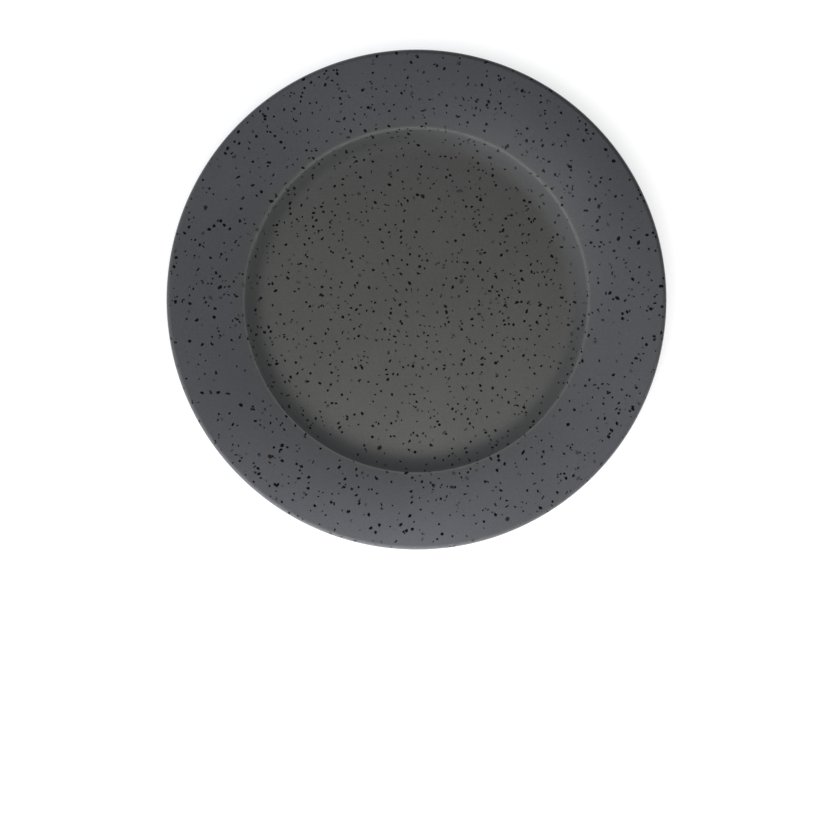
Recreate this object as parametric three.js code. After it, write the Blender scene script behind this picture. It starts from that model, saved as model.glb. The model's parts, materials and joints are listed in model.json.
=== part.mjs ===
// A round dinner plate in speckled charcoal stoneware: a fired clay body with a wide, gently crowned rim, a shallow
// well and a foot ring, under two coats of glaze that the bare foot ring keeps apart.
// Millimetres, +Z up. The origin is the middle of the plane that the foot ring stands on.
import * as THREE from "three";

// Widths over the glaze
const PLATE_DIAMETER = 270;
const WELL_DIAMETER = 188; // at the crest, where the rim turns down into the well

// Heights over the glaze, stacked up from the table
const BASE_CLEARANCE = 3; // table to the underside of the base
const FLOOR_THICKNESS = 4.5;
const WELL_DEPTH = 6; // floor to crest
const RIM_RISE = 8.5; // crest to the top of the lip

// Slopes, rounds and thicknesses over the glaze
const FLOOR_BLEND_RADIUS = 20; // floor into wall
const RISER_RADIUS = 2; // the wall's last, tight turn up to the crest
const RISER_SLOPE = 75; // degrees up from the floor, where the riser meets the crest
const CREST_RADIUS = 1;
const RIM_CROWN_RADIUS = 180; // the rim's swell between crest and lip, which its underside follows
const LIP_THICKNESS = 4.5; // the lip is fully round
const VERGE_THICKNESS = 5; // through the ware, from the crest to the shoulder below it
const SHOULDER_RADIUS = 6; // underside of the rim into the foot
const SHOULDER_LEAN = 24; // degrees outward from straight below the crest

// Foot ring, in bare clay
const FOOT_INSET = 8.5; // from the crest in to the outside of the ring
const FOOT_WIDTH = 5;
const FOOT_EDGE_RADIUS = 0.8;
const FOOT_ROOT_RADIUS = 1;
const BASE_CORNER_RADIUS = 1;

// Glaze
const GLAZE_THICKNESS = 0.4;
const GLAZE_BOND_GAP = 0.1; // between the clay and the back of the glaze
const GLAZE_LINE_HEIGHT = 1.4; // the glaze stops this far above the table

// Fineness of the round surfaces
const TURNED_SIDES = 60;
const CHORD_ERROR = 0.06; // most that a straight step may stray from its arc
const SAME_POINT = 1e-6;

const CLAY = new THREE.MeshStandardMaterial({ color: 0xa89a88, roughness: 0.9, metalness: 0 });
const GLAZE = new THREE.MeshStandardMaterial({ color: 0x4b4b4e, roughness: 0.35, metalness: 0 });

const FULL_TURN = 2 * Math.PI;
const coat = GLAZE_BOND_GAP + GLAZE_THICKNESS;

// A corner of the plate's half section, in clay: an arc about a centre. Its radius is above zero where the ware
// bulges round the centre, below zero where the ware is hollowed round it, and zero at a plain point.
function clayCorner(across, up, radius) {
  return { centre: new THREE.Vector2(across, up), radius };
}

// The same corner, with its radius given over the glaze.
function glazedCorner(across, up, radius) {
  return clayCorner(across, up, radius - coat);
}

// An arc of the given radius that touches two corners. Its centre lies in the ware where it bulges, with a radius
// above zero, and in the air where it is hollow, with a radius below zero.
function arcBetween(start, end, radius) {
  const run = end.centre.clone().sub(start.centre);
  const span = run.length();
  const toStart = radius - coat - start.radius;
  const toEnd = radius - coat - end.radius;
  const along = (toStart ** 2 - toEnd ** 2 + span ** 2) / (2 * span);
  const aside = Math.sign(radius) * Math.sqrt(toStart ** 2 - along ** 2);
  const ahead = run.divideScalar(span);
  const across = start.centre.x + along * ahead.x + aside * ahead.y;
  const up = start.centre.y + along * ahead.y - aside * ahead.x;
  return glazedCorner(across, up, radius);
}

// A hollow of the given radius that touches a bulging corner from the side of the well, where both slope alike.
function hollowBeside(bulge, radius, slope) {
  const outward = new THREE.Vector2(-Math.sin(slope), Math.cos(slope));
  const centre = bulge.centre.clone().addScaledVector(outward, bulge.radius + coat + radius);
  return glazedCorner(centre.x, centre.y, -radius);
}

// A wide hollow of the given radius that rises from a level floor into a tighter hollow.
function hollowBelow(tight, floor, radius) {
  const up = floor + radius;
  const between = radius + tight.radius + coat;
  const across = tight.centre.x - Math.sqrt(between ** 2 - (up - tight.centre.y) ** 2);
  return glazedCorner(across, up, -radius);
}

// The direction, as an angle, that the straight line touching two neighbouring corners faces.
function lineFacing(from, to) {
  const run = to.centre.clone().sub(from.centre);
  const lean = THREE.MathUtils.clamp((from.radius - to.radius) / run.length(), -1, 1);
  return run.angle() + Math.acos(lean);
}

// How many straight steps an arc needs. A plain point needs none.
function arcSteps(radius, sweep) {
  const size = Math.abs(radius);
  if (size <= CHORD_ERROR) return 0;
  return Math.ceil(Math.abs(sweep) / (2 * Math.acos(1 - CHORD_ERROR / size)));
}

// The points of one corner, moved out by the offset, from the way that it faces first to the way that it faces last.
function cornerPoints(corner, first, last, offset) {
  const turn = THREE.MathUtils.euclideanModulo(last - first, FULL_TURN);
  const sweep = corner.radius > 0 ? turn - FULL_TURN : turn;
  const steps = arcSteps(corner.radius, sweep);
  return Array.from({ length: steps + 1 }, (_, step) => {
    const facing = first + (sweep * step) / Math.max(steps, 1);
    const outward = new THREE.Vector2(Math.cos(facing), Math.sin(facing));
    return corner.centre.clone().addScaledVector(outward, corner.radius + offset);
  });
}

// The outline through a row of corners, moved out by the offset. It is walked with the air on the left hand.
function outline(corners, offset) {
  const facings = corners.slice(1).map((corner, index) => lineFacing(corners[index], corner));
  const points = corners.flatMap((corner, index) => {
    const first = facings[Math.max(index - 1, 0)];
    const last = facings[Math.min(index, facings.length - 1)];
    return cornerPoints(corner, first, last, offset);
  });
  return points.filter((point, index) => index === 0 || point.distanceTo(points[index - 1]) > SAME_POINT);
}

// Where the corners are
const crestReach = WELL_DIAMETER / 2;
const floorHeight = BASE_CLEARANCE + FLOOR_THICKNESS;
const crestHeight = floorHeight + WELL_DEPTH;
const plateHeight = crestHeight + RIM_RISE;
const lipRadius = LIP_THICKNESS / 2;
const footReach = crestReach - FOOT_INSET;
const footInnerReach = footReach - FOOT_WIDTH;
const clayBaseHeight = BASE_CLEARANCE + coat;
const riserSlope = THREE.MathUtils.degToRad(RISER_SLOPE);
const shoulderLean = THREE.MathUtils.degToRad(SHOULDER_LEAN);
const shoulderDrop = VERGE_THICKNESS - CREST_RADIUS + SHOULDER_RADIUS;

const floorMiddle = glazedCorner(0, floorHeight, 0);
const crest = glazedCorner(crestReach, crestHeight - CREST_RADIUS, CREST_RADIUS);
const riser = hollowBeside(crest, RISER_RADIUS, riserSlope);
const floorBlend = hollowBelow(riser, floorHeight, FLOOR_BLEND_RADIUS);
const lip = glazedCorner(PLATE_DIAMETER / 2 - lipRadius, plateHeight - lipRadius, lipRadius);
const rimCrown = arcBetween(crest, lip, RIM_CROWN_RADIUS);
const shoulder = glazedCorner(
  crest.centre.x + shoulderDrop * Math.sin(shoulderLean),
  crest.centre.y - shoulderDrop * Math.cos(shoulderLean),
  -SHOULDER_RADIUS,
);
const rimUnderside = arcBetween(lip, shoulder, VERGE_THICKNESS - RIM_CROWN_RADIUS);
const footRoot = clayCorner(
  footReach + FOOT_ROOT_RADIUS,
  clayBaseHeight - FOOT_ROOT_RADIUS,
  -FOOT_ROOT_RADIUS,
);
const outerGlazeLine = clayCorner(footReach, GLAZE_LINE_HEIGHT, 0);
const footOuterEdge = clayCorner(footReach - FOOT_EDGE_RADIUS, FOOT_EDGE_RADIUS, FOOT_EDGE_RADIUS);
const footInnerEdge = clayCorner(footInnerReach + FOOT_EDGE_RADIUS, FOOT_EDGE_RADIUS, FOOT_EDGE_RADIUS);
const baseGlazeLine = clayCorner(footInnerReach, GLAZE_LINE_HEIGHT, 0);
const baseCorner = clayCorner(
  footInnerReach - BASE_CORNER_RADIUS,
  clayBaseHeight - BASE_CORNER_RADIUS,
  -BASE_CORNER_RADIUS,
);
const baseMiddle = glazedCorner(0, BASE_CLEARANCE, 0);

const outerCorners = [
  floorMiddle,
  floorBlend,
  riser,
  crest,
  rimCrown,
  lip,
  rimUnderside,
  shoulder,
  footRoot,
  outerGlazeLine,
];
const footCorners = [footOuterEdge, footInnerEdge];
const baseCorners = [baseGlazeLine, baseCorner, baseMiddle];

// A piece turned about the plate's axis. The half section starts and ends on that axis, and is turned round because
// a lathe's faces point out when the air is on the right hand.
function turnedPiece(name, halfSection, material) {
  const geometry = new THREE.LatheGeometry(halfSection.toReversed(), TURNED_SIDES);
  geometry.rotateX(Math.PI / 2);
  const piece = new THREE.Mesh(geometry, material);
  piece.name = name;
  return piece;
}

function makeBody() {
  const halfSection = outline([...outerCorners, ...footCorners, ...baseCorners], 0);
  return turnedPiece("stoneware_body", halfSection, CLAY);
}

function makeOuterGlaze() {
  const front = outline(outerCorners, coat);
  const back = outline(outerCorners, GLAZE_BOND_GAP).reverse();
  return turnedPiece("outer_glaze", [...front, ...back], GLAZE);
}

function makeBaseGlaze() {
  const front = outline(baseCorners, coat);
  const back = outline(baseCorners, GLAZE_BOND_GAP).reverse();
  return turnedPiece("base_glaze", [...back, ...front], GLAZE);
}

const plate = new THREE.Group();
plate.add(makeBody(), makeOuterGlaze(), makeBaseGlaze());

export default plate;
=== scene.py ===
import json
import math

import bpy
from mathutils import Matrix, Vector


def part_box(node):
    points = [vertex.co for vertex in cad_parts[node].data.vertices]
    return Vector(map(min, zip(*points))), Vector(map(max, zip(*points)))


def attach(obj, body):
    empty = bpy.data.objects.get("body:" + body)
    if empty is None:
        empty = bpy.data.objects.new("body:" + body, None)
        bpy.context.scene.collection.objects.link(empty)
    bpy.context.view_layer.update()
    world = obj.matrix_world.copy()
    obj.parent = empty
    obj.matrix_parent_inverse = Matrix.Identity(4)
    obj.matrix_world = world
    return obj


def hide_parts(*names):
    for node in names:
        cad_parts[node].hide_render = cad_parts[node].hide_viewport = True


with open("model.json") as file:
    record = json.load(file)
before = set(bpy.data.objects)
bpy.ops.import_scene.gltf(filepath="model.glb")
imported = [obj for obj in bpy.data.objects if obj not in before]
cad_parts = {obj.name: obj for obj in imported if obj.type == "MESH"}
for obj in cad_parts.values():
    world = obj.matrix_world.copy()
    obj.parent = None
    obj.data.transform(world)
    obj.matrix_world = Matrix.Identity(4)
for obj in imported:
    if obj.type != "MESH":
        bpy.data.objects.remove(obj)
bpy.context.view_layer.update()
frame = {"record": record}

MM = 0.001

# Sizes that the frame gives
glaze_low, glaze_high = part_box("outer_glaze")
clay_low, clay_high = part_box("stoneware_body")
base_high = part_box("base_glaze")[1]
mounts = {mount["name"]: Vector(mount["pos_m"]) for mount in frame["record"]["mounts"]}
PLATE_REACH = glaze_high.x
PLATE_HEIGHT = glaze_high.z
COAT = glaze_high.x - clay_high.x
FLOOR_HEIGHT = mounts["well_floor"].z
FOOT_MIDDLE = mounts["foot_ring"].x
GLAZE_LINE = glaze_low.z
TABLE_HEIGHT = clay_low.z

# Shape of the plate over the glaze
CREST_REACH = 94 * MM
WELL_DEPTH = 6 * MM
FLOOR_BLEND_RADIUS = 20 * MM
RISER_RADIUS = 2 * MM
RISER_SLOPE = math.radians(75)
CREST_RADIUS = 1 * MM
RIM_CROWN_RADIUS = 180 * MM
LIP_RADIUS = 2.25 * MM
VERGE_THICKNESS = 5 * MM
SHOULDER_RADIUS = 6 * MM
SHOULDER_LEAN = math.radians(24)
GLAZE_THICKNESS = 0.4 * MM

# Foot ring and base
FOOT_WIDTH = 5 * MM
FOOT_EDGE_RADIUS = 0.8 * MM
FOOT_ROOT_RADIUS = 1 * MM
BASE_CORNER_RADIUS = 1 * MM

# Fineness of the turned surfaces
TURNED_SIDES = 256
FINE_STEP = 3 * MM
FINE_TURN = math.radians(4)
COARSE_STEP = 9 * MM
COARSE_TURN = math.radians(15)
SAME_POINT = 0.001 * MM


# A corner of the half section, in clay: an arc about a centre. Its radius is above zero where the ware
# bulges round the centre, below zero where the ware is hollowed round it, and zero at a plain point.
def clay_corner(across, up, radius):
    return {"centre": Vector((across, up)), "radius": radius}


# The same corner, with its radius given over the glaze.
def glazed_corner(across, up, radius):
    return clay_corner(across, up, radius - COAT)


# An arc of the given radius that touches two corners. Its centre lies in the ware where it bulges, with a
# radius above zero, and in the air where it is hollow, with a radius below zero.
def arc_between(start, end, radius):
    run = end["centre"] - start["centre"]
    span = run.length
    to_start = radius - COAT - start["radius"]
    to_end = radius - COAT - end["radius"]
    along = (to_start**2 - to_end**2 + span**2) / (2 * span)
    aside = math.copysign(math.sqrt(to_start**2 - along**2), radius)
    ahead = run / span
    centre = start["centre"] + along * ahead + aside * Vector((ahead.y, -ahead.x))
    return glazed_corner(centre.x, centre.y, radius)


# A hollow of the given radius that touches a bulging corner from the side of the well, where both have
# the given slope.
def hollow_beside(bulge, radius, slope):
    outward = Vector((-math.sin(slope), math.cos(slope)))
    centre = bulge["centre"] + (bulge["radius"] + COAT + radius) * outward
    return glazed_corner(centre.x, centre.y, -radius)


# A wide hollow of the given radius that rises from a level floor into a tighter hollow.
def hollow_below(tight, floor, radius):
    up = floor + radius
    between = radius + tight["radius"] + COAT
    across = tight["centre"].x - math.sqrt(between**2 - (up - tight["centre"].y) ** 2)
    return glazed_corner(across, up, -radius)


# Where the corners are
crest_height = FLOOR_HEIGHT + WELL_DEPTH
foot_reach = FOOT_MIDDLE + FOOT_WIDTH / 2
foot_inner_reach = FOOT_MIDDLE - FOOT_WIDTH / 2
clay_base_height = base_high.z + COAT - GLAZE_THICKNESS
shoulder_drop = VERGE_THICKNESS - CREST_RADIUS + SHOULDER_RADIUS

floor_middle = glazed_corner(0, FLOOR_HEIGHT, 0)
crest = glazed_corner(CREST_REACH, crest_height - CREST_RADIUS, CREST_RADIUS)
riser = hollow_beside(crest, RISER_RADIUS, RISER_SLOPE)
floor_blend = hollow_below(riser, FLOOR_HEIGHT, FLOOR_BLEND_RADIUS)
lip = glazed_corner(PLATE_REACH - LIP_RADIUS, PLATE_HEIGHT - LIP_RADIUS, LIP_RADIUS)
rim_crown = arc_between(crest, lip, RIM_CROWN_RADIUS)
shoulder = glazed_corner(
    crest["centre"].x + shoulder_drop * math.sin(SHOULDER_LEAN),
    crest["centre"].y - shoulder_drop * math.cos(SHOULDER_LEAN),
    -SHOULDER_RADIUS,
)
rim_underside = arc_between(lip, shoulder, VERGE_THICKNESS - RIM_CROWN_RADIUS)
foot_root = clay_corner(
    foot_reach + FOOT_ROOT_RADIUS,
    clay_base_height - FOOT_ROOT_RADIUS,
    -FOOT_ROOT_RADIUS,
)
outer_glaze_end = clay_corner(foot_reach, GLAZE_LINE + COAT, 0)
outer_edge = clay_corner(foot_reach - FOOT_EDGE_RADIUS, FOOT_EDGE_RADIUS, FOOT_EDGE_RADIUS)
inner_edge = clay_corner(foot_inner_reach + FOOT_EDGE_RADIUS, FOOT_EDGE_RADIUS, FOOT_EDGE_RADIUS)
base_glaze_end = clay_corner(foot_inner_reach, GLAZE_LINE + COAT, 0)
base_corner = clay_corner(
    foot_inner_reach - BASE_CORNER_RADIUS,
    clay_base_height - BASE_CORNER_RADIUS,
    -BASE_CORNER_RADIUS,
)
base_middle = clay_corner(0, clay_base_height, 0)
foot_core = clay_corner(FOOT_MIDDLE, GLAZE_LINE + COAT, 0)

face_corners = [
    floor_middle,
    floor_blend,
    riser,
    crest,
    rim_crown,
    lip,
    rim_underside,
    shoulder,
    foot_root,
    outer_glaze_end,
]
base_corners = [base_glaze_end, base_corner, base_middle]


# The direction, as an angle, that the straight line touching two neighbouring corners faces.
def line_facing(start, end):
    run = end["centre"] - start["centre"]
    lean = (start["radius"] - end["radius"]) / run.length
    return math.atan2(run.y, run.x) + math.acos(max(-1, min(1, lean)))


# The points of one corner, moved out by the offset, from the way that it faces first to the way that it
# faces last.
def corner_points(corner, first, last, offset, longest, widest):
    turn = (last - first) % math.tau
    sweep = turn - math.tau if corner["radius"] >= 0 and turn > SAME_POINT else turn
    reach = corner["radius"] + offset
    steps = max(math.ceil(abs(sweep) / widest), math.ceil(abs(sweep * reach) / longest), 1)
    facings = [first + sweep * step / steps for step in range(steps + 1)]
    return [corner["centre"] + reach * Vector((math.cos(facing), math.sin(facing))) for facing in facings]


# The outline through a row of corners, moved out by the offset and walked with the air on the left hand.
# Arcs and straight stretches are cut into steps, none longer than the longest or turning by more than the
# widest.
def outline(corners, offset, longest, widest):
    facings = [line_facing(start, end) for start, end in zip(corners, corners[1:])]
    firsts = [facings[0], *facings]
    lasts = [*facings, facings[-1]]
    points = []
    for corner, first, last in zip(corners, firsts, lasts):
        for point in corner_points(corner, first, last, offset, longest, widest):
            start = points[-1] if points else point
            gap = (point - start).length
            if points and gap < SAME_POINT:
                continue
            cuts = max(math.ceil(gap / longest), 1)
            points += [start.lerp(point, cut / cuts) for cut in range(1, cuts + 1)]
    return points


# A piece turned about the plate's axis from its half section, which is drawn point by point from one end.
def turned_piece(name, half_section):
    bpy.ops.object.select_all(action="DESELECT")
    bpy.ops.mesh.primitive_plane_add(size=MM, location=(half_section[0].x, 0, half_section[0].y))
    bpy.ops.object.transform_apply(location=True, rotation=True, scale=True)
    piece = bpy.context.object
    piece.name = name
    piece.data.name = name
    bpy.ops.object.mode_set(mode="EDIT")
    bpy.ops.mesh.select_mode(type="VERT")
    bpy.ops.mesh.select_all(action="SELECT")
    bpy.ops.mesh.merge(type="CENTER")
    for start, end in zip(half_section, half_section[1:]):
        step = end - start
        bpy.ops.mesh.extrude_vertices_move(TRANSFORM_OT_translate={"value": (step.x, 0, step.y)})
    bpy.ops.mesh.select_all(action="SELECT")
    bpy.ops.mesh.spin(steps=TURNED_SIDES, angle=math.tau, center=(0, 0, 0), axis=(0, 0, 1))
    bpy.ops.mesh.select_all(action="SELECT")
    bpy.ops.mesh.remove_doubles(threshold=SAME_POINT)
    bpy.ops.mesh.normals_make_consistent(inside=False)
    bpy.ops.object.mode_set(mode="OBJECT")
    bpy.ops.object.shade_smooth()
    return piece


# The fired clay: one turned body, bare only on the ring that it stands on.
def make_clay_body():
    corners = [*face_corners[:-1], outer_edge, inner_edge, *base_corners[1:]]
    return turned_piece("clay_body", outline(corners, 0, FINE_STEP, FINE_TURN))


# The coat over the face, the lip and the underside of the rim. It ends at the glaze line on the outside of
# the foot ring.
def make_face_glaze():
    corners = [*face_corners, foot_core]
    front = outline(corners, COAT, FINE_STEP, FINE_TURN)[:-1]
    back = outline(corners, COAT - GLAZE_THICKNESS, COARSE_STEP, COARSE_TURN)[:-1]
    return turned_piece("face_glaze", [*front, *reversed(back)])


# The coat on the base. It ends at the glaze line on the inside of the foot ring.
def make_base_glaze():
    corners = [foot_core, *base_corners]
    front = outline(corners, COAT, FINE_STEP, FINE_TURN)[1:]
    back = outline(corners, COAT - GLAZE_THICKNESS, COARSE_STEP, COARSE_TURN)[1:]
    return turned_piece("base_coat", [*reversed(back), *front])


clay_body = make_clay_body()
face_glaze = make_face_glaze()
base_coat = make_base_glaze()

for piece, node, slot in (
    (clay_body, "stoneware_body", "clay"),
    (face_glaze, "outer_glaze", "speckled_glaze"),
    (base_coat, "base_glaze", "base_glaze"),
):
    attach(piece, "root")
    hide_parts(node)


# The colour sockets of a mix node, which share their names with others
COLOUR_A = 6
COLOUR_B = 7
COLOUR_RESULT = 2

# The middle of a noise, how far most of it strays from there, and the middle of a random colour
NOISE_MIDDLE = 0.5
NOISE_SPREAD = 0.2
COLOUR_MIDDLE = (NOISE_MIDDLE, NOISE_MIDDLE, NOISE_MIDDLE)


# The shading nodes of a material or a world
class Shading:
    def __init__(self, owner):
        owner.use_nodes = True
        self.nodes = owner.node_tree.nodes
        self.links = owner.node_tree.links

    # Sets a socket to a value, or links it to the output of another node.
    def feed(self, socket, value):
        if isinstance(value, bpy.types.NodeSocket):
            self.links.new(value, socket)
        else:
            socket.default_value = value

    def math(self, operation, first, second=0.0):
        node = self.nodes.new("ShaderNodeMath")
        node.operation = operation
        self.feed(node.inputs[0], first)
        self.feed(node.inputs[1], second)
        return node.outputs["Value"]

    def vector(self, operation, first, second=(0, 0, 0), scale=1.0, output="Vector"):
        node = self.nodes.new("ShaderNodeVectorMath")
        node.operation = operation
        self.feed(node.inputs[0], first)
        if operation == "SCALE":
            self.feed(node.inputs["Scale"], scale)
        else:
            self.feed(node.inputs[1], second)
        return node.outputs[output]

    def ramp(self, value, low, high, low_to=0.0, high_to=1.0, smooth=False):
        node = self.nodes.new("ShaderNodeMapRange")
        node.interpolation_type = "SMOOTHSTEP" if smooth else "LINEAR"
        for name, setting in (
            ("Value", value),
            ("From Min", low),
            ("From Max", high),
            ("To Min", low_to),
            ("To Max", high_to),
        ):
            self.feed(node.inputs[name], setting)
        return node.outputs["Result"]

    def mix(self, share, first, second):
        node = self.nodes.new("ShaderNodeMix")
        node.data_type = "RGBA"
        self.feed(node.inputs["Factor"], share)
        self.feed(node.inputs[COLOUR_A], first)
        self.feed(node.inputs[COLOUR_B], second)
        return node.outputs[COLOUR_RESULT]

    # One for what the eye sees, also in a mirror image, and zero for light that falls on a surface.
    def seen(self):
        rays = self.nodes.new("ShaderNodeLightPath").outputs
        mirrored = self.math("MAXIMUM", rays["Is Glossy Ray"], rays["Is Transmission Ray"])
        return self.math("MAXIMUM", rays["Is Camera Ray"], mirrored)


# A finish, with its patterns laid out in millimetres of the plate itself
class Finish(Shading):
    def __init__(self, name):
        self.material = bpy.data.materials.new(name)
        super().__init__(self.material)
        self.shader = self.nodes["Principled BSDF"]
        coordinates = self.nodes.new("ShaderNodeTexCoord").outputs
        self.millimetres = self.vector("SCALE", coordinates["Object"], scale=1 / MM)
        self.facing = coordinates["Normal"]

    # Cloudy noise with features of the given size in millimetres.
    def noise(self, size, detail, output="Fac"):
        node = self.nodes.new("ShaderNodeTexNoise")
        self.feed(node.inputs["Vector"], self.millimetres)
        node.inputs["Scale"].default_value = 1 / size
        node.inputs["Detail"].default_value = detail
        return node.outputs[output]

    # A value that drifts between the least and the most over patches of the given size.
    def drift(self, size, detail, least, most, spread=NOISE_SPREAD):
        noise = self.noise(size, detail)
        return self.ramp(noise, NOISE_MIDDLE - spread, NOISE_MIDDLE + spread, least, most)

    # An uneven surface, as deep in metres as given where the height runs from zero to one.
    def uneven(self, height, depth):
        node = self.nodes.new("ShaderNodeBump")
        node.inputs["Distance"].default_value = depth
        self.feed(node.inputs["Height"], height)
        self.feed(self.shader.inputs["Normal"], node.outputs["Normal"])

    # Scattered specks: one to a cell at most, each with its own size, slant and length along the surface.
    # Those that lie within the given depth of the surface show, at their full size.
    def specks(self, place, cell, small, large, stretch, chance, edge, depth):
        node = self.nodes.new("ShaderNodeTexVoronoi")
        self.feed(node.inputs["Vector"], place)
        node.inputs["Scale"].default_value = 1 / cell
        draw = self.nodes.new("ShaderNodeTexWhiteNoise")
        self.feed(draw.inputs["Vector"], node.outputs["Position"])
        draws = self.nodes.new("ShaderNodeSeparateColor")
        self.feed(draws.inputs["Color"], draw.outputs["Color"])
        away = self.vector("SUBTRACT", place, node.outputs["Position"])
        sunk = self.vector("DOT_PRODUCT", away, self.facing, output="Value")
        beside = self.vector("SUBTRACT", away, self.vector("SCALE", self.facing, scale=sunk))
        lean = self.vector("SUBTRACT", node.outputs["Color"], COLOUR_MIDDLE)
        upright = self.vector("DOT_PRODUCT", lean, self.facing, output="Value")
        laid_down = self.vector("SUBTRACT", lean, self.vector("SCALE", self.facing, scale=upright))
        slant = self.vector("NORMALIZE", laid_down)
        along = self.vector("DOT_PRODUCT", beside, slant, output="Value")
        shorten = self.ramp(draws.outputs["Green"], 0.0, 1.0, 0.0, 1 - 1 / stretch)
        drawn_in = self.vector("SCALE", slant, scale=self.math("MULTIPLY", along, shorten))
        distance = self.vector("LENGTH", self.vector("SUBTRACT", beside, drawn_in), output="Value")
        few_large = self.math("POWER", draws.outputs["Red"], 2.0)
        radius = self.ramp(few_large, 0.0, 1.0, small, large)
        outside = self.math("ADD", radius, edge)
        inside = self.math("SUBTRACT", radius, edge)
        spot = self.ramp(distance, outside, inside, smooth=True)
        near = self.math("LESS_THAN", self.math("ABSOLUTE", sunk), depth)
        present = self.math("MULTIPLY", near, self.math("LESS_THAN", draws.outputs["Blue"], chance))
        return self.math("MULTIPLY", spot, present)


# Colours
GLAZE_GREY = (0.0868, 0.0863, 0.0815, 1)
# Slate tint for the rim: a painted cool reflection of the light its gloss meets
GLAZE_COOL_REFLECTION = (0.0800, 0.0820, 0.0890, 1)
# Lighter colour over the crest and at the lip: thin glaze with a painted highlight
GLAZE_THIN_HIGHLIGHT = (0.1250, 0.1240, 0.1210, 1)
# Darker colour for the hollow under the crest: painted shade
GLAZE_HOLLOW_SHADE = (0.0560, 0.0562, 0.0556, 1)
SPECK_BLACK = (0.0042, 0.0042, 0.0042, 1)
SPECK_SUNK = (0.0280, 0.0278, 0.0275, 1)
SPECK_RUST = (0.0200, 0.0125, 0.0075, 1)
CLAY_BUFF = (0.36, 0.31, 0.25, 1)
CLAY_DARK = (0.27, 0.22, 0.17, 1)
CLAY_GRAIN = (0.12, 0.09, 0.07, 1)

# Where the glaze changes, in millimetres from the middle: from grey in the well to a slate tint on the rim,
# a painted cool reflection; lighter over the crest and out to the lip, thin glaze with a painted highlight;
# and darker in the hollow under the crest, painted shade
crest_mm = CREST_REACH / MM
lip_mm = PLATE_REACH / MM
GREY_TO = crest_mm - 16
RIM_FROM = crest_mm + 14
# Where the lighter crest and lip lie: thin glaze with a painted highlight
CREST_HIGHLIGHT_AT = crest_mm - 0.5
CREST_HIGHLIGHT_HALF = 1.3
LIP_HIGHLIGHT_FROM = lip_mm - 2.4
LIP_HIGHLIGHT_TO = lip_mm - 0.8
# Where the painted shade in the hollow under the crest rises and fades
HOLLOW_SHADE_FROM = crest_mm - 12
HOLLOW_SHADE_FULL = crest_mm - 5
HOLLOW_SHADE_FADES = crest_mm - 2.2
HOLLOW_SHADE_TO = crest_mm - 0.8

# Scale of the glaze's patterns in millimetres, and how strong they are
SPECK_WAVER = 1.7
SPECK_WAVER_REACH = 0.9
CLOUD = 38
CLOUD_SHARE = 0.04
GRAIN = 0.9
GRAIN_SHARE = 0.08
GRAIN_SPREAD = 0.25
# How strong the painted shade in the hollow under the crest is
HOLLOW_SHADE_SHARE = 0.72
# Patches of the painted highlight over the crest and lip, and the lip's share of it
THIN_HIGHLIGHT_PATCH = 7.0
THIN_HIGHLIGHT_LEAST = 0.45
THIN_HIGHLIGHT_MOST = 0.8
LIP_HIGHLIGHT_SHARE = 0.15
SUNK_SHARE = 0.75
RIPPLE = 9.0
RIPPLE_DEPTH = 0.07 * MM

# Iron specks in the well and on the rim: the share of cells that have one, and the largest radius in mm
WELL_SPECK_CHANCE = 0.79
RIM_SPECK_CHANCE = 0.63
WELL_SPECK_LARGEST = 0.76
RIM_SPECK_LARGEST = 0.88

# Gloss of the glaze, which is duller on a speck
GLAZE_GLOSS = 0.4
GLAZE_IOR = 1.5
GLOSS_PATCH = 26
GLAZE_ROUGH_LEAST = 0.11
GLAZE_ROUGH_MOST = 0.15
SPECK_DULLS = 0.06


# The ground of the glaze: cloudy and grainy, grey in the well and a slate tint on the rim that is a painted
# cool reflection, lighter over the crest and lip as thin glaze with a painted highlight, and darker in the
# hollow under the crest as painted shade.
def glaze_ground(finish, reach, rim_share):
    # The rim's slate tint is a painted cool reflection
    hue = finish.mix(rim_share, GLAZE_GREY, GLAZE_COOL_REFLECTION)
    cloud = finish.drift(CLOUD, 3.0, 1 - CLOUD_SHARE, 1 + CLOUD_SHARE)
    grain = finish.drift(GRAIN, 1.0, 1 - GRAIN_SHARE, 1 + GRAIN_SHARE, GRAIN_SPREAD)
    even = finish.vector("SCALE", hue, scale=finish.math("MULTIPLY", cloud, grain))
    # Painted shade in the hollow under the crest
    shade_rise = finish.ramp(reach, HOLLOW_SHADE_FROM, HOLLOW_SHADE_FULL, smooth=True)
    shade_fall = finish.ramp(reach, HOLLOW_SHADE_TO, HOLLOW_SHADE_FADES, smooth=True)
    hollow_shade = finish.math("MULTIPLY", finish.math("MULTIPLY", shade_rise, shade_fall), HOLLOW_SHADE_SHARE)
    shaded = finish.mix(hollow_shade, even, GLAZE_HOLLOW_SHADE)
    # Lighter over the crest and at the lip: thin glaze with a painted highlight
    from_crest = finish.math("ABSOLUTE", finish.math("SUBTRACT", reach, CREST_HIGHLIGHT_AT))
    crest_highlight = finish.ramp(from_crest, CREST_HIGHLIGHT_HALF, 0.0, smooth=True)
    lip_highlight = finish.ramp(reach, LIP_HIGHLIGHT_FROM, LIP_HIGHLIGHT_TO, 0.0, LIP_HIGHLIGHT_SHARE, smooth=True)
    patchy_highlight = finish.drift(THIN_HIGHLIGHT_PATCH, 2.0, THIN_HIGHLIGHT_LEAST, THIN_HIGHLIGHT_MOST)
    thin = finish.math("MULTIPLY", finish.math("MAXIMUM", crest_highlight, lip_highlight), patchy_highlight)
    return finish.mix(thin, shaded, GLAZE_THIN_HIGHLIGHT)


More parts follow.
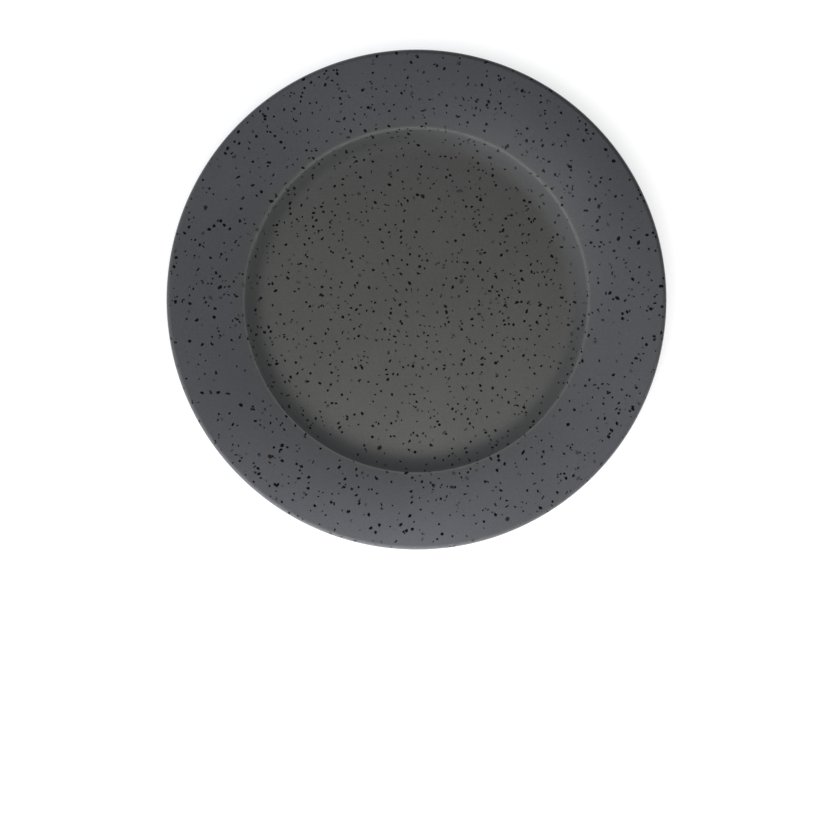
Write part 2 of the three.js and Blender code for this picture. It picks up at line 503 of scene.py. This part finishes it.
# Glossy charcoal glaze with iron specks: round black ones, dashes, some that lie deeper and look softer,
# and a few that have bled rust.
def speckled_glaze(name):
    finish = Finish(name)
    waver = finish.vector("SUBTRACT", finish.noise(SPECK_WAVER, 1.0, "Color"), COLOUR_MIDDLE)
    shift = finish.vector("SCALE", waver, scale=SPECK_WAVER_REACH)
    place = finish.vector("ADD", finish.millimetres, shift)
    level = finish.vector("MULTIPLY", finish.millimetres, (1, 1, 0))
    reach = finish.vector("LENGTH", level, output="Value")
    rim_share = finish.ramp(reach, GREY_TO, RIM_FROM, smooth=True)
    chance = finish.ramp(rim_share, 0.0, 1.0, WELL_SPECK_CHANCE, RIM_SPECK_CHANCE)
    largest = finish.ramp(rim_share, 0.0, 1.0, WELL_SPECK_LARGEST, RIM_SPECK_LARGEST)
    dots = finish.specks(
        place, cell=3.05, small=0.42, large=largest, stretch=1.7, chance=chance, edge=0.1, depth=0.5
    )
    dashes = finish.specks(
        place, cell=5.4, small=0.31, large=0.46, stretch=3.6, chance=0.8, edge=0.1, depth=0.6
    )
    sunk = finish.specks(
        place, cell=4.6, small=0.45, large=0.9, stretch=1.8, chance=0.4, edge=0.3, depth=0.5
    )
    rust = finish.specks(
        place, cell=15.0, small=0.6, large=1.1, stretch=1.8, chance=0.6, edge=0.25, depth=1.0
    )
    black = finish.math("MAXIMUM", dots, dashes)
    ground = glaze_ground(finish, reach, rim_share)
    softened = finish.mix(finish.math("MULTIPLY", sunk, SUNK_SHARE), ground, SPECK_SUNK)
    rusted = finish.mix(rust, softened, SPECK_RUST)
    finish.feed(finish.shader.inputs["Base Color"], finish.mix(black, rusted, SPECK_BLACK))
    rough = finish.drift(GLOSS_PATCH, 3.0, GLAZE_ROUGH_LEAST, GLAZE_ROUGH_MOST)
    duller = finish.math("MULTIPLY", black, SPECK_DULLS)
    finish.feed(finish.shader.inputs["Roughness"], finish.math("ADD", rough, duller))
    finish.shader.inputs["IOR"].default_value = GLAZE_IOR
    finish.shader.inputs["Specular IOR Level"].default_value = GLAZE_GLOSS
    finish.uneven(finish.noise(RIPPLE, 1.0), RIPPLE_DEPTH)
    return finish.material


# Scale of the clay's patterns in millimetres, and how strong they are
CLAY_MOTTLE = 3.0
CLAY_MOTTLE_SPREAD = 0.15
CLAY_PATCH = 0.8
CLAY_ROUGH_LEAST = 0.82
CLAY_ROUGH_MOST = 0.96
CLAY_PITS = 0.6
CLAY_PIT_DEPTH = 0.10 * MM


# Bare fired stoneware: matt buff clay with fine dark grains.
def bare_clay(name):
    finish = Finish(name)
    grains = finish.specks(
        finish.millimetres, cell=1.4, small=0.1, large=0.24, stretch=1.5, chance=0.6, edge=0.06, depth=0.2
    )
    mottle = finish.drift(CLAY_MOTTLE, 4.0, 0.0, 1.0, CLAY_MOTTLE_SPREAD)
    ground = finish.mix(mottle, CLAY_DARK, CLAY_BUFF)
    finish.feed(finish.shader.inputs["Base Color"], finish.mix(grains, ground, CLAY_GRAIN))
    rough = finish.drift(CLAY_PATCH, 2.0, CLAY_ROUGH_LEAST, CLAY_ROUGH_MOST)
    finish.feed(finish.shader.inputs["Roughness"], rough)
    finish.uneven(finish.noise(CLAY_PITS, 3.0), CLAY_PIT_DEPTH)
    return finish.material


clay_body.data.materials.append(bare_clay("bare_clay"))
face_glaze.data.materials.append(speckled_glaze("speckled_glaze"))
base_coat.data.materials.append(speckled_glaze("base_glaze"))


# The direction of a place round the plate: degrees round from the right, and up from the table.
def pointing(azimuth, elevation):
    around = math.radians(azimuth)
    raised = math.radians(elevation)
    outward = math.cos(raised)
    return Vector((outward * math.cos(around), outward * math.sin(around), math.sin(raised)))


# Stage: a white table top that turns up into a backdrop all round, pale but on the white side
TABLE_REACH = 2.6
SWEEP_RADIUS = 0.4
BACKDROP_HEIGHT = 0.7
SWEEP_STEPS = 8
TABLE_COLOUR = (0.35, 0.35, 0.35, 1)
WHITE_NEAR = 1.6
PALE_FROM = 2.6
NEAR_GLOW = 0.95
FAR_GLOW = 0.45
WHITE_SIDE = pointing(245, 0)
WHITE_SIDE_EDGE = 0.2
WHITE_SIDE_MIDDLE = 0.8
CONTACT_REACH = 24 * MM


# Matt grey, with a white glow of its own that only the eye and mirror images see. The glow is lower where
# the plate stands close over it, as a soft shadow, and far away, where only the white side keeps it.
def white_table(name):
    finish = Finish(name)
    away = finish.vector("LENGTH", finish.millimetres, output="Value")
    direction = finish.vector("NORMALIZE", finish.millimetres)
    towards = finish.vector("DOT_PRODUCT", direction, WHITE_SIDE, output="Value")
    far_glow = finish.ramp(towards, WHITE_SIDE_EDGE, WHITE_SIDE_MIDDLE, FAR_GLOW, NEAR_GLOW, smooth=True)
    glow = finish.ramp(away, WHITE_NEAR / MM, PALE_FROM / MM, NEAR_GLOW, far_glow, smooth=True)
    finish.shader.inputs["Base Color"].default_value = TABLE_COLOUR
    finish.shader.inputs["Roughness"].default_value = 1.0
    finish.shader.inputs["Specular IOR Level"].default_value = 0.0
    finish.shader.inputs["Emission Color"].default_value = (1, 1, 1, 1)
    shadow = finish.nodes.new("ShaderNodeAmbientOcclusion")
    shadow.inputs["Distance"].default_value = CONTACT_REACH
    open_glow = finish.math("MULTIPLY", glow, shadow.outputs["AO"])
    seen_glow = finish.math("MULTIPLY", finish.seen(), open_glow)
    finish.feed(finish.shader.inputs["Emission Strength"], seen_glow)
    finish.material.cycles.emission_sampling = "NONE"
    return finish.material


def make_table():
    bends = [math.radians(90) * step / SWEEP_STEPS for step in range(SWEEP_STEPS + 1)]
    sweep = [
        Vector((
            TABLE_REACH + SWEEP_RADIUS * math.sin(bend),
            TABLE_HEIGHT + SWEEP_RADIUS * (1 - math.cos(bend)),
        ))
        for bend in bends
    ]
    top = Vector((sweep[-1].x, TABLE_HEIGHT + BACKDROP_HEIGHT))
    table = turned_piece("table_top", [Vector((0, TABLE_HEIGHT)), *sweep, top])
    table.data.materials.append(white_table("white_table"))


make_table()

# Light: soft square panels round the plate, each aimed at its middle, and low strips
WHITE = (1.0, 1.0, 1.0)
COOL = (0.88, 0.94, 1.0)
DIM_ROOM = 0.05
NEAR = 0.24
BESIDE = 0.32
FAR = 0.80
PANEL_RAISE = 28
PANEL_SPREAD = 0.5
STRIP_RAISE = 8
STRIP_HEIGHT = 0.16

# The room as the gloss shows it: walls up to a height and a ceiling, as sines, and a window as a direction
WALL_GLOW = 0.20
WALLS_TO = 0.3
CEILING_FROM = 0.75
WINDOW_GLOW = 0.8
WINDOW_SIDE = pointing(222, 24)
WINDOW_EDGE = 0.6
WINDOW_MIDDLE = 0.95


# A square panel that lights the plate but isn't seen, as wide as its spread times its distance. Its share
# is of the light on the floor of the well, where 1 shows a colour as it is written.
def soft_panel(name, azimuth, elevation, distance, share, colour=WHITE, spread=PANEL_SPREAD):
    away = pointing(azimuth, elevation)
    lamp = bpy.data.lights.new(name, "AREA")
    lamp.shape = "SQUARE"
    lamp.size = spread * distance
    lamp.energy = share * (math.pi * distance) ** 2 / away.z
    lamp.color = colour
    panel = bpy.data.objects.new(name, lamp)
    panel.location = distance * away
    panel.rotation_euler = (-away).to_track_quat("-Z", "Y").to_euler()
    panel.visible_camera = False
    panel.visible_glossy = False
    bpy.context.scene.collection.objects.link(panel)
    return panel


# A low, wide strip of light, which the gloss of the glaze shows as a thin line along the crest. One that
# doesn't light all shows in the gloss alone.
def strip_light(name, azimuth, width, share, lights_all):
    strip = soft_panel(name, azimuth, STRIP_RAISE, FAR, share, spread=width / FAR)
    strip.data.shape = "RECTANGLE"
    strip.data.size_y = STRIP_HEIGHT
    strip.visible_glossy = True
    strip.visible_diffuse = lights_all


soft_panel("front_panel", azimuth=265, elevation=PANEL_RAISE, distance=NEAR, share=0.235)
soft_panel("front_right_panel", azimuth=300, elevation=PANEL_RAISE, distance=BESIDE, share=0.085)
soft_panel("front_left_panel", azimuth=235, elevation=PANEL_RAISE, distance=NEAR, share=0.045)
soft_panel("right_panel", azimuth=345, elevation=PANEL_RAISE, distance=NEAR, share=0.075)
soft_panel("back_right_panel", azimuth=50, elevation=20, distance=BESIDE, share=0.022, colour=COOL)
soft_panel("back_panel", azimuth=105, elevation=PANEL_RAISE, distance=NEAR, share=0.030, colour=COOL)
soft_panel("back_left_panel", azimuth=135, elevation=PANEL_RAISE, distance=BESIDE, share=0.036, colour=COOL)
soft_panel("far_left_panel", azimuth=240, elevation=PANEL_RAISE, distance=FAR, share=0.215)
soft_panel("far_back_left_panel", azimuth=165, elevation=32, distance=FAR, share=0.165, colour=COOL)
soft_panel("high_panel", azimuth=225, elevation=72, distance=FAR, share=0.060)
soft_panel("low_left_panel", azimuth=222, elevation=10, distance=FAR, share=0.060, spread=0.375)
strip_light("left_strip", azimuth=226, width=0.80, share=0.018, lights_all=True)
strip_light("front_strip", azimuth=275, width=0.60, share=0.008, lights_all=False)
strip_light("right_strip", azimuth=318, width=0.70, share=0.013, lights_all=False)


# The room: dim as a light, and brighter where the eye or the gloss of the glaze meets it, low down all
# round and on the side of the window.
def make_room():
    world = bpy.data.worlds.new("room")
    room = Shading(world)
    direction = room.nodes.new("ShaderNodeTexCoord").outputs["Generated"]
    height = room.vector("DOT_PRODUCT", direction, (0, 0, 1), output="Value")
    walls = room.ramp(height, WALLS_TO, CEILING_FROM, WALL_GLOW, DIM_ROOM, smooth=True)
    towards = room.vector("DOT_PRODUCT", direction, WINDOW_SIDE, output="Value")
    window = room.ramp(towards, WINDOW_EDGE, WINDOW_MIDDLE, DIM_ROOM, WINDOW_GLOW, smooth=True)
    glow = room.math("MAXIMUM", walls, window)
    background = room.nodes["Background"]
    background.inputs["Color"].default_value = (*COOL, 1)
    room.feed(background.inputs["Strength"], room.ramp(room.seen(), 0.0, 1.0, DIM_ROOM, glow))
    bpy.context.scene.world = world


make_room()

# Camera: straight above the plate, framed as the photograph frames it
PHOTO_SIDE_PX = 826
PLATE_MIDDLE_PX = Vector((416.5, 300.1))
PLATE_RADIUS_PX = 250.2
CAMERA_HEIGHT = 2.0
SENSOR_WIDTH_MM = 36


def make_camera():
    above_lip = CAMERA_HEIGHT - PLATE_HEIGHT
    per_pixel = PLATE_REACH / PLATE_RADIUS_PX
    lens = bpy.data.cameras.new("camera")
    lens.sensor_width = SENSOR_WIDTH_MM
    lens.lens = SENSOR_WIDTH_MM * above_lip / (PHOTO_SIDE_PX * per_pixel)
    camera = bpy.data.objects.new("camera", lens)
    camera.location = (0, 0, CAMERA_HEIGHT)
    right_of_middle = (PLATE_MIDDLE_PX.x - PHOTO_SIDE_PX / 2) * per_pixel
    above_middle = (PHOTO_SIDE_PX / 2 - PLATE_MIDDLE_PX.y) * per_pixel
    tip = -math.atan(above_middle / above_lip)
    turn = math.atan(right_of_middle / above_lip)
    camera.rotation_euler = (tip, turn, 0)
    bpy.context.scene.collection.objects.link(camera)
    bpy.context.scene.camera = camera


make_camera()
bpy.context.scene.view_settings.view_transform = "Standard"
